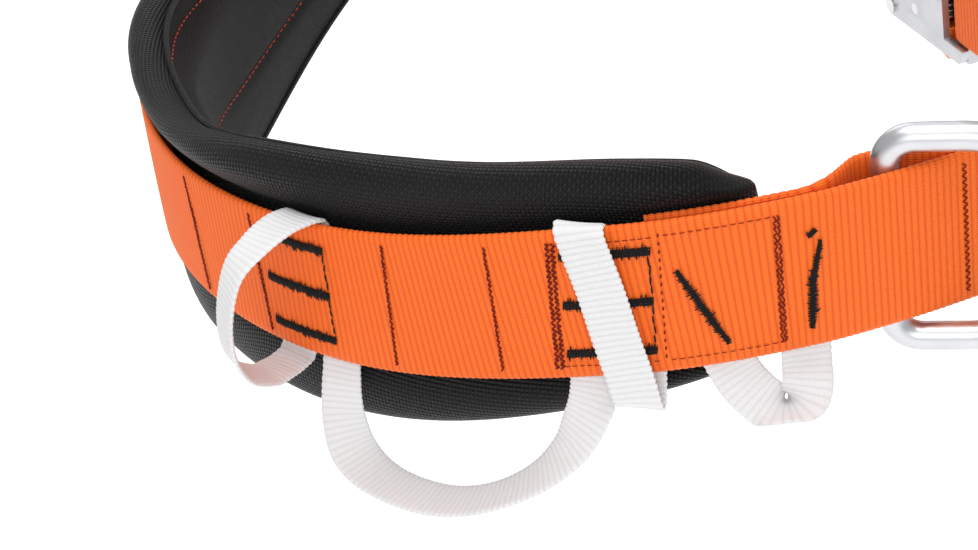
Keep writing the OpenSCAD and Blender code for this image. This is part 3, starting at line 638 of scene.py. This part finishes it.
def gearLoop(kind, side, sideName):
    look = loops[kind]
    line = smoothLine(look["points"], 10)
    at = line[:, :3] * [side, 1, 1]
    ahead, up, out = beltWays(at[:, 0])
    turn = np.radians(line[:, 3])[:, None]
    tip = math.radians(look["tip"])
    wide = side * np.cos(turn) * ahead + np.sin(turn) * (math.cos(tip) * out + math.sin(tip) * up)
    piece = wovenStrap(kind + "Loop" + sideName.capitalize(), makePath(onBelt(at), wide), web["white"], 1.4,
                       paint["whiteWebbing"], cup=look["cup"] * side)
    start, end = (onBelt([(side * p[0], p[1], p[2])])[0] for p in look["blend"])
    if kind in ("long", "short"):
        # The fold line runs through both of the loop's ends
        ends = [look["points"][i] for i in (2, -3)]
        a, b = (onBelt([(side * p[0], -edge, tail)])[0] for p in ends)
        chord = (b - a) / np.linalg.norm(b - a)
        way = end - start
        way = way - (way @ chord) * chord
        start = (a + b) / 2
        end = start + way
    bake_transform(piece)
    dress(piece, "white_webbing", look["node"] + "_" + sideName, "loop_tails_" + sideName)
    return piece


for kind in loops:
    gearLoop(kind, 1, "right")
    if kind != "open":  # the open loop hangs on the right side alone
        gearLoop(kind, -1, "left")
print("gear loops laid")

def stitchShape():
    bm = bmesh.new()
    bmesh.ops.create_cone(bm, cap_ends=True, segments=5, radius1=1, radius2=1, depth=1)
    bmesh.ops.rotate(bm, verts=bm.verts, cent=(0, 0, 0), matrix=Matrix.Rotation(math.pi / 2, 3, "Y"))
    long = [e for e in bm.edges if abs(e.verts[0].co.x - e.verts[1].co.x) > 0.5]
    bmesh.ops.subdivide_edges(bm, edges=long, cuts=3)
    mesh = bpy.data.meshes.new("stitchShape")
    bm.to_mesh(mesh)
    bm.free()
    return mesh


oneStitch = stitchShape()


def sewThread(name, stitches, material, face=1.0):
    # Each stitch is (s, u) to (s, u), its radius, the height of its ends and how far it arches
    bm = bmesh.new()
    for _ in stitches:
        bm.from_mesh(oneStitch)
    piece = makePiece(bm, name, material)
    rows = np.array(stitches, float)
    local = getCo(piece.data).reshape(len(rows), -1, 3)
    x = local[:, :, 0] + 0
    a, b, radius, base, arch = (rows[:, i:j] for i, j in ((0, 2), (2, 4), (4, 5), (5, 6), (6, 7)))
    way = b - a
    side = np.stack([-way[:, 1], way[:, 0]], axis=1) / np.linalg.norm(way, axis=1)[:, None]
    thin = radius * (1 - 0.55 * (2 * np.abs(x)) ** 4)
    s = (a[:, :1] + b[:, :1]) / 2 + x * way[:, :1] + local[:, :, 1] * thin * side[:, :1]
    u = (a[:, 1:] + b[:, 1:]) / 2 + x * way[:, 1:] + local[:, :, 1] * thin * side[:, 1:]
    o = base + face * (arch * (1 - (2 * x) ** 2) + local[:, :, 2] * thin)
    setCo(piece.data, onBelt(np.stack([s, u, o], axis=2).reshape(-1, 3)))
    turnOutwards(piece.data)
    return piece


def jitter(amount):
    return random.uniform(-amount, amount)


def runRow(a, b, length, gap, radius, base=0.05, arch=0.2, wander=0.08):
    # A row of plain stitches from one place to another
    a, b = np.array(a, float), np.array(b, float)
    count = max(1, int(np.linalg.norm(b - a) / (length + gap)))
    way = (b - a) / count
    rows = []
    for i in range(count):
        p = a + way * i + np.array([jitter(wander), jitter(wander)])
        q = a + way * (i + length / (length + gap)) + np.array([jitter(wander), jitter(wander)])
        rows.append((*p, *q, radius, base, arch))
    return rows


def zigzagRow(a, b, width, pitch, radius, base=0.05, arch=0.18, ragged=0.0, taper=0.0):
    # Stitches that go from side to side along a line
    a, b = np.array(a, float), np.array(b, float)
    count = max(2, int(np.linalg.norm(b - a) / pitch))
    way = (b - a) / count
    side = np.array([-way[1], way[0]]) / np.linalg.norm(way) * width / 2
    rows = []
    last = a - side
    for i in range(count):
        hand = 1 if i % 2 == 0 else -1
        reach = (1 + (random.random() ** 3) * ragged) * (1 - taper * abs(2 * i / count - 1) ** 2.5)
        after = a + way * (i + 1) + hand * side * reach + way * jitter(0.5 if ragged else 0.1)
        rows.append((*last, *after, radius, base, arch + random.uniform(0, 0.12) * (ragged > 0)))
        last = after
    return rows


def crossStitches():
    reach = 19.5
    rows = []
    for s, low in ((32, 33), (66.5, 66.5), (149, 149)):
        rows += zigzagRow((s - 2, reach), (low, -reach), 0.85, 0.8, 0.3, ragged=0.5)
    rows += zigzagRow((114, reach), (114, -reach), 0.85, 0.8, 0.3, ragged=0.5)
    for offset in (-0.8, 0.8):
        rows += zigzagRow((166.5 + offset, reach), (166.5 + offset, -reach), 1.3, 0.8, 0.3, ragged=0.4)
    rows += runRow((196.8, reach), (196.8, -reach), 1.1, 1.3, 0.26)
    for offset in (-0.5, 0.5):
        rows += zigzagRow((228 + offset, reach - 0.5), (228 + offset, 0.5 - reach), 0.8, 1.0, 0.25,
                          ragged=0.4)
    for u in (18.8, -18.8):
        rows += runRow((198, u), (227, u), 1.5, 0.6, 0.14)
    for u in (18.6, -18.8):
        rows += runRow((168, u), (195.5, u), 1.5, 0.6, 0.14)
    for s in (282, 294):
        rows += zigzagRow((s, reach), (s, -reach), 1.5, 0.95, 0.2)
    return rows


def bartack(a, b, width, taper=0.0):
    # Dense zigzag over a few padding stitches, ragged at its sides
    rows = []
    side = (b[0] - a[0], b[1] - a[1])
    length = math.hypot(*side)
    normal = (-side[1] / length, side[0] / length)
    for k in (-0.3, 0, 0.3):
        k = k * (1 - taper)
        shift = (normal[0] * width * k, normal[1] * width * k)
        rows += runRow((a[0] + shift[0], a[1] + shift[1]), (b[0] + shift[0], b[1] + shift[1]), 3.2, 0.1, 0.3,
                       base=0.12)
    rows += zigzagRow(a, b, width * 0.92, 0.34, 0.2, base=0.3, arch=0.22, ragged=0.9,
                      taper=taper)
    return rows


def bartacks():
    rows = []
    bars = (15, 0, -15)
    for first, last in ((69.5, 93), (169, 194.5)):
        for u in bars:
            rows += bartack((first, u + 0.3), (last, u - 0.3), 3.0)
        for upper, lower in ((13.2, 1.6), (-1.8, -13.2)):
            rows += runRow((last - 0.6, upper), (last - 0.2, lower), 2.6, 0.05, 0.26, base=0.15, wander=0.25)
    rows += bartack((201, 8), (213.5, -16), 2.6, taper=0.6)
    rows += bartack((239.4, 9.3), (236.4, -4), 2.0, taper=0.5)
    rows += bartack((236.9, 1), (235.8, -16.5), 2.9, taper=0.6)
    rows += bartack((235.9, 11), (238.4, 12.6), 1.7)
    return rows


def handed(rows, side):
    return [(side * r[0], r[1], side * r[2], *r[3:]) for r in rows]


for side, sideName in ((1, "Right"), (-1, "Left")):
    piece = sewThread("crossStitches" + sideName, handed(crossStitches(), side), paint["redThread"])
    place(piece, "root", "red_thread", "cross_stitches_" + sideName.lower())
    piece = sewThread("bartacks" + sideName, handed(bartacks(), side), paint["blackThread"])
    place(piece, "root", "black_thread", "bartacks_" + sideName.lower())
print("thread sewn")

pad = {
    "end": 226,
    "top": ((0, 35), (70, 44), (140, 42), (205, 36), (226, 24)),
    "low": ((0, 45), (80, 45), (140, 41), (205, 31), (226, 24)),
    "stations": 118,
    "around": 72,
    "middle": -10.5,
    "inner": -16.9,
    "outer": -6.95,
    "bandEdge": 23.5,
    "rimFall": 2.2,
    "foamGap": 2.2,
    "upperFlare": 6.5,
    "upperLeast": 0.6,
    "lowerFlare": 1.4,
    "taper": 7,
    "pressure": 4.0,
    "frames": 20,
    "cap": 0.0022,
}


def rimHeight(knots, s):
    k = np.array(knots, float)
    s = np.abs(np.atleast_1d(np.asarray(s, float)))
    slope = np.zeros(len(k))
    for i in range(1, len(k)):
        j = min(i + 1, len(k) - 1)
        slope[i] = (k[j, 1] - k[i - 1, 1]) / (k[j, 0] - k[i - 1, 0])
    i = np.clip(np.searchsorted(k[:, 0], s, side="right") - 1, 0, len(k) - 2)
    span = k[i + 1, 0] - k[i, 0]
    t = (s - k[i, 0]) / span
    return (k[i, 1] + (k[i + 1, 1] - k[i, 1]) * ease(t)
            + span * t * (1 - t) * (slope[i] * (1 - t) - slope[i + 1] * t))


def endTaper(s):
    t = np.clip((np.abs(s) - (pad["end"] - pad["taper"])) / pad["taper"], 0, 1)
    return np.sqrt(np.clip(1 - t * t, 0.03, 1))


def flare(s, u):
    # The margins lean away from the wearer above and below the band, most of all behind the back
    a = np.abs(s)
    upper = pad["upperFlare"] * (1 - ease((a - 45) / 75)) + pad["upperLeast"]
    full = np.where(u > 0, upper, pad["lowerFlare"]) * (1 - ease((a - 205) / 20))
    return full * ease((np.abs(u) - 20) / 15)


def halfSection(rim, s, sign):
    # From the middle of the inner face, over one rim, to the middle of the outer face
    edgeAt, inner, outer = pad["bandEdge"], pad["inner"], pad["outer"]
    margin = max(rim - edgeAt, 0.6)
    full = float(ease(margin / 8))
    fall = pad["rimFall"] * full * (sign > 0)
    rim = rim - fall
    rows = [(0, inner), (rim * 0.5, inner), (rim - 7, inner), (rim - 4.4, -16.7), (rim - 2.6, -16.0),
            (rim - 1.1, -14.2), (rim - 0.2, -11.6), (rim - 0.1, -9.0), (rim - min(1.1, 0.15 * margin), -7.0),
            (rim - min(3.2, 0.3 * margin), -5.3 - 1.6 * (1 - full)),
            (edgeAt + 0.5 * margin, -4.2 - 2.7 * (1 - full)), (edgeAt + 0.15 * margin,
                                                               -4.3 - 2.5 * (1 - full)),
            (22.6, -6.6), (19, -7.0), (10, outer), (0, outer)]
    return [(u, o + float(flare(s, sign * u))) for u, o in rows]


def section(s, count, shrink=0.0):
    top, low = float(rimHeight(pad["top"], s)[0]), float(rimHeight(pad["low"], s)[0])
    gap = pad["foamGap"] * shrink
    up, down = halfSection(top - gap, s, 1), halfSection(low - gap, s, -1)
    ring = up + [(-u, o) for u, o in reversed(down[:-1])]
    line = smoothLine(ring, 8)
    gaps = np.concatenate([[0], np.cumsum(np.linalg.norm(np.diff(line, axis=0), axis=1))])
    at = np.linspace(0, gaps[-1], count)
    u, o = np.interp(at, gaps, line[:, 0]), np.interp(at, gaps, line[:, 1])
    middle = pad["middle"] - 1.3 * shrink + flare(s, u)
    o = middle + (o - middle) * float(endTaper(s)) * (1 - 0.42 * shrink)
    return u, o, at


def padBody(name, material, shrink=0.0):
    # Flat cloth rolled into a tube over the foam, sewn along the back and closed at its ends
    bm = bmesh.new()
    bmesh.ops.create_grid(bm, x_segments=pad["stations"], y_segments=pad["around"], size=0.5)
    piece = makePiece(bm, name, material)
    flat = getCo(piece.data)
    column = np.rint((flat[:, 0] + 0.5) * pad["stations"]).astype(int)
    row = np.rint((flat[:, 1] + 0.5) * pad["around"]).astype(int)
    share = np.linspace(-1, 1, pad["stations"] + 1)
    stations = (pad["end"] - 3 * shrink) * np.sign(share) * (1 - (1 - np.abs(share)) ** 1.12)
    table = np.zeros((len(stations), pad["around"] + 1, 3))
    cloth = np.zeros((len(stations), pad["around"] + 1, 2))
    for i, s in enumerate(stations):
        u, o, at = section(s, pad["around"] + 1, shrink)
        table[i] = np.stack([0 * u + s, u, o], axis=1)
        cloth[i] = np.stack([0 * u + s, at], axis=1)
    setCloth(piece.data, cloth[column, row])
    setCo(piece.data, onBelt(table[column, row]))
    joinSeams(piece, fill=True)
    return piece


def inflate(piece, held):
    # Blows the cover up over its foam, held under the band, along the lining and at its ends
    group = piece.vertex_groups.new(name="held")
    for i, weight in enumerate(held):
        if weight > 0:
            group.add([i], float(weight), "REPLACE")
    rest = getCo(piece.data)
    cloth = piece.modifiers.new("blown", "CLOTH")
    settings = cloth.settings
    settings.quality = 6
    settings.mass = 0.3
    settings.tension_stiffness = 1.2
    settings.compression_stiffness = 1.2
    settings.shear_stiffness = 0.4
    settings.bending_stiffness = 0.05
    settings.use_pressure = True
    settings.uniform_pressure_force = pad["pressure"]
    settings.vertex_group_mass = "held"
    settings.effector_weights.gravity = 0
    cloth.point_cache.frame_start = 1
    cloth.point_cache.frame_end = pad["frames"]
    for step in range(1, pad["frames"] + 1):
        scene.frame_set(step)
    blown = piece.evaluated_get(bpy.context.evaluated_depsgraph_get())
    moved = getCo(blown.data) - rest
    piece.modifiers.remove(cloth)
    piece.vertex_groups.remove(group)
    scene.frame_set(1)
    size = np.linalg.norm(moved, axis=1)[:, None]
    capped = moved * np.minimum(1, pad["cap"] / np.maximum(size, 1e-9))
    setCo(piece.data, rest + capped * (1 - np.asarray(held)[:, None]))
    print("pad cover blown up, by up to", round(float(size.max() * 1000), 2), "mm before the cap")


def clothValues(mesh):
    rows = np.zeros(len(mesh.vertices) * 3, np.float32)
    mesh.attributes["cloth"].data.foreach_get("vector", rows)
    return rows.reshape(-1, 3)


padCover = padBody("padCover", paint["padWeave"])
coverCloth = clothValues(padCover.data)


def heldShare(cloth):
    # One where the cover is held: over the lining, under the band and at its ends
    held = np.zeros(len(cloth))
    for i, (s, at, _) in enumerate(cloth):
        top, low = (float(rimHeight(pad[k], s)[0]) for k in ("top", "low"))
        pastTop = at - (top - 1.5)
        pastLow = section(s, 3)[2][-1] - at - (low - 1.5)
        nearest = min(pastTop, pastLow)
        underBand = nearest > 10 + min(top, low) - pad["bandEdge"]
        held[i] = 1.0 if nearest < 0 or underBand or abs(s) > pad["end"] - 14 else 0.0
    return held


inflate(padCover, heldShare(coverCloth))
smoothing = padCover.modifiers.new("smooth", "SUBSURF")
smoothing.levels = smoothing.render_levels = 1
place(padCover, "root", "pad_weave", "pad_outer_cover")
padFoam = padBody("padFoamCore", paint["foam"], shrink=1.0)
place(padFoam, "root", "foam", "pad_foam_core")
print("pad cover and foam made")

lining = {
    "inset": 4.6, "topInset": 6.4, "seams": (30.5, -10.0), "along": 190, "across": 44, "puff": 1.5,
    "thick": 0.5,
    "face": -17.35, "edgeRound": 3.5, "seamDepth": 0.75, "seamWidth": 2.6, "longFold": 0.35,
    "shortFold": 0.25,
}


def liningOut(s, u):
    # The lining's inner face: pulled in at its seams, with soft folds between
    top, low = rimHeight(pad["top"], s), rimHeight(pad["low"], s)
    toRim = np.minimum(top - u - lining["topInset"], low + u - lining["inset"])
    dip = 1 - np.exp(-np.clip(toRim, 0, 99) / lining["edgeRound"])
    for seam in lining["seams"]:
        dip = dip * (1 - lining["seamDepth"] * np.exp(-((u - seam) / lining["seamWidth"]) ** 2))
    fold = (lining["longFold"] * np.sin(s / 13 + u / 19 + 1.5 * np.sin(s / 47))
            + lining["shortFold"] * np.sin(s / 29 - u / 8)) * dip
    flat = lining["face"] - lining["puff"] * dip - fold
    return pad["middle"] + flare(s, u) + (flat - pad["middle"]) * endTaper(np.abs(s) * 1.004)


def makeLining():
    piece = makePiece(flatSlab(lining["along"], lining["across"]), "padLining", paint["liningMesh"])
    flat = getCo(piece.data)
    s = 2 * flat[:, 0] * (pad["end"] - 1.6)
    top, low = rimHeight(pad["top"], s) - lining["topInset"], rimHeight(pad["low"], s) - lining["inset"]
    u = -low + (flat[:, 1] + 0.5) * (top + low)
    o = liningOut(s, u) + lining["thick"] * (flat[:, 2] < 0.5)
    turn = math.radians(-30)
    setCloth(piece.data, np.stack([s * math.cos(turn) + u * math.sin(turn),
                                   u * math.cos(turn) - s * math.sin(turn)], axis=1))
    setCo(piece.data, onBelt(np.stack([s, u, o], axis=1)))
    turnOutwards(piece.data)
    return piece


padLining = makeLining()
place(padLining, "root", "mesh_lining", "pad_mesh_lining")


def seamRow(u):
    rows = []
    s = -196.0
    while s < 196:
        length = 2.0 + jitter(0.25)
        if rimHeight(pad["top"], s)[0] - lining["topInset"] - 1 > u:
            base = float(liningOut(np.array([s + 1]), np.array([u]))[0]) - 0.1
            rows.append((s, u + jitter(0.12), s + length, u + jitter(0.12), 0.22, base, 0.25))
        s += 3.4
    return rows


liningSeams = sewThread("liningSeams", [row for u in lining["seams"] for row in seamRow(u)],
                        paint["seamThread"], face=-1.0)
place(liningSeams, "root", "red_thread")
print("lining made")

piping = {"radius": 1.0, "sides": 10, "gap": 4.0, "topGap": 5.8, "middle": -17.6, "clothStep": 0.63}


def pipingLoop():
    # Round cord sewn in all the way round the inner edge of the pad
    end = pad["end"]
    run = np.array(evenly(-end + 4, end - 4, 3))
    top = np.stack([run, rimHeight(pad["top"], run) - piping["topGap"]], axis=1)
    low = np.stack([run, piping["gap"] - rimHeight(pad["low"], run)], axis=1)[::-1]
    rightEnd = [(end - 1.6, 14), (end - 1.2, 0), (end - 1.6, -14)]
    leftEnd = [(1.6 - end, -14), (1.2 - end, 0), (1.6 - end, 14)]
    line = smoothLine(np.concatenate([top, rightEnd, low, leftEnd, top[:1]]), 3)[:-1]
    o = pad["middle"] + flare(line[:, 0], line[:,
                                               1]) + (piping["middle"] - pad["middle"]) * endTaper(line[:, 0])
    return np.stack([line[:, 0], line[:, 1], o], axis=1)


def makePiping():
    line = onBelt(pipingLoop())
    count = len(line)
    bm = bmesh.new()
    bmesh.ops.create_grid(bm, x_segments=count, y_segments=piping["sides"], size=0.5)
    piece = makePiece(bm, "rimPiping", paint["pipingCord"])
    flat = getCo(piece.data)
    i = np.rint((flat[:, 0] + 0.5) * count).astype(int) % count
    j = np.rint((flat[:, 1] + 0.5) * piping["sides"]).astype(int)
    ahead = np.roll(line, -1, axis=0) - np.roll(line, 1, axis=0)
    ahead /= np.linalg.norm(ahead, axis=1)[:, None]
    wide = squareTo(np.tile([0.1, 0.2, 1.0], (count, 1)), ahead)
    face = np.cross(ahead, wide)
    angle = 2 * math.pi * j / piping["sides"]
    skin = line[i] + piping["radius"] / 1000 * (np.cos(angle)[:, None] * wide[i]
                                                + np.sin(angle)[:, None] * face[i])
    gaps = np.concatenate([[0], np.cumsum(np.linalg.norm(np.diff(line, axis=0), axis=1))]) * 1000
    setCloth(piece.data, np.stack([gaps[i], j * piping["clothStep"]], axis=1))
    setCo(piece.data, skin)
    joinSeams(piece)
    return piece


rimPiping = makePiping()
place(rimPiping, "root", "piping", "rim_piping")
print("piping made")

def softened(node, body, material, slotName, width):
    # The same shape as the frame's part, with its sharp edges rounded
    bm = mergedCopy(node)
    bmesh.ops.dissolve_limit(bm, angle_limit=math.radians(1), verts=bm.verts, edges=bm.edges)
    sharp = [e for e in bm.edges if len(e.link_faces) == 2 and e.calc_face_angle(0) > math.radians(40)]
    bmesh.ops.bevel(bm, geom=sharp, offset=width / 1000, offset_type="OFFSET", segments=2,
                    profile=0.5, affect="EDGES", material=-1, clamp_overlap=True)
    bmesh.ops.triangulate(bm, faces=[f for f in bm.faces if len(f.verts) > 4])
    words = node.split("_")
    piece = makePiece(bm, words[0] + "".join(w.capitalize() for w in words[1:]), material)
    piece.data.set_sharp_from_angle(angle=math.radians(35))
    rows = getCo(piece.data) * 1000
    setCloth(piece.data, rows[:, [0, 2]])
    place(piece, body, slotName, node)
    return piece


softened("buckle_back_plate", "root", paint["buckleMetal"], "buckle_metal", 0.5)
softened("buckle_front_plate", "root", paint["buckleMetal"], "buckle_metal", 0.5)
softened("buckle_tongue", "root", paint["buckleMetal"], "buckle_metal", 0.5)
softened("release_lever_upper", "release_lever_upper", paint["leverFinish"], "lever_finish", 0.5)
softened("release_lever_lower", "release_lever_lower", paint["leverFinish"], "lever_finish", 0.5)
softened("strap_keeper_inner", "strap_keeper_inner", paint["keeperElastic"], "keeper_elastic", 0.35)
softened("strap_keeper_outer", "strap_keeper_outer", paint["keeperElastic"], "keeper_elastic", 0.35)
softened("strap_end_sleeve", "root", paint["sleevePlastic"], "sleeve_plastic", 0.25)

kept = {
    "side_ring_right": "ringMetal",
    "side_ring_left": "ringMetal",
    "buckle_spacers": "buckleMetal",
    "buckle_rivets": "pinSteel",
    "buckle_strap_bar": "buckleMetal",
    "lever_pins": "pinSteel",
    "tongue_slider_bar": "buckleMetal",
    "lumbar_stiffener": "stiffener",
}
for node, finish in kept.items():
    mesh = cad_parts[node].data
    mesh.materials.clear()
    mesh.materials.append(paint[finish])


springs = {
    "seats": {"upper": 0.03015, "lower": 0.00928},
    "keep": 0.4,  # more than the lever's own travel presses it, which would leave 0.66
}


def leverSpring(side):
    # A copy of the spring part, put in place of the frame's spring
    node = "lever_spring_" + side
    piece = makePiece(mergedCopy(node), "leverSpring" + side.capitalize(), paint["pinSteel"])
    place(piece, "root", "spring_steel", node)
    middle = getCo(piece.data).mean(0)
    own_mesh(piece)


for side in springs["seats"]:
    leverSpring(side)
print("metal and small parts finished")

view = {
    "azimuth": 73.75,
    "elevation": 31.37,
    "roll": -7.48,
    "distance": 0.72657,
    "lens": 84.58,
    "target": (0.04241, 0.07197, -0.0361),
}
a, e, r = (math.radians(view[k]) for k in ("azimuth", "elevation", "roll"))
back = Vector((math.sin(a) * math.cos(e), -math.cos(a) * math.cos(e), math.sin(e)))
level = Vector((math.cos(a), math.sin(a), 0))
upright = back.cross(level)
right = math.cos(r) * level + math.sin(r) * upright
above = -math.sin(r) * level + math.cos(r) * upright
cameraData = bpy.data.cameras.new("camera")
cameraData.lens = view["lens"]
cameraData.sensor_width = 36
cameraData.clip_start = 0.01
camera = bpy.data.objects.new("camera", cameraData)
scene.collection.objects.link(camera)
cameraAt = Vector(view["target"]) + back * view["distance"]
camera.matrix_world = Matrix((
    (right.x, above.x, back.x, cameraAt.x),
    (right.y, above.y, back.y, cameraAt.y),
    (right.z, above.z, back.z, cameraAt.z),
    (0, 0, 0, 1)))
scene.camera = camera

floorHeight = -0.19
bm = bmesh.new()
bmesh.ops.create_grid(bm, x_segments=2, y_segments=2, size=6)
bmesh.ops.translate(bm, verts=bm.verts, vec=(0, 0, floorHeight))
floorPaint, _, floorShader = newMaterial("floorPaint", 0.9)
floorShader.inputs["Base Color"].default_value = (0.93, 0.93, 0.93, 1)
floorShader.inputs["Specular IOR Level"].default_value = 0.1
floorShader.inputs["Emission Color"].default_value = (1, 1, 1, 1)
floorShader.inputs["Emission Strength"].default_value = 0.3
floor = makePiece(bm, "floor", floorPaint, smooth=False)

lamps = {
    "above": {"at": (0.15, 0.1, 1.5), "size": 1.2, "power": 15},
    "nearSide": {"at": (1.3, -0.5, 0.7), "size": 0.9, "power": 6},
    "farSide": {"at": (-1.3, 0.4, 0.8), "size": 1.0, "power": 4},
}
for name, lamp in lamps.items():
    data = bpy.data.lights.new(name, "AREA")
    data.shape = "SQUARE"
    data.size = lamp["size"]
    data.energy = lamp["power"]
    light = bpy.data.objects.new(name, data)
    light.location = lamp["at"]
    toward = Vector((0.05, 0.1, 0)) - Vector(lamp["at"])
    light.rotation_euler = toward.to_track_quat("-Z", "Y").to_euler()
    scene.collection.objects.link(light)

world = bpy.data.worlds.new("studio")
world.use_nodes = True
world.node_tree.nodes["Background"].inputs["Color"].default_value = (1, 1, 1, 1)
world.node_tree.nodes["Background"].inputs["Strength"].default_value = 0.56
scene.world = world
scene.view_settings.view_transform = "Standard"
print("camera, floor and light set")
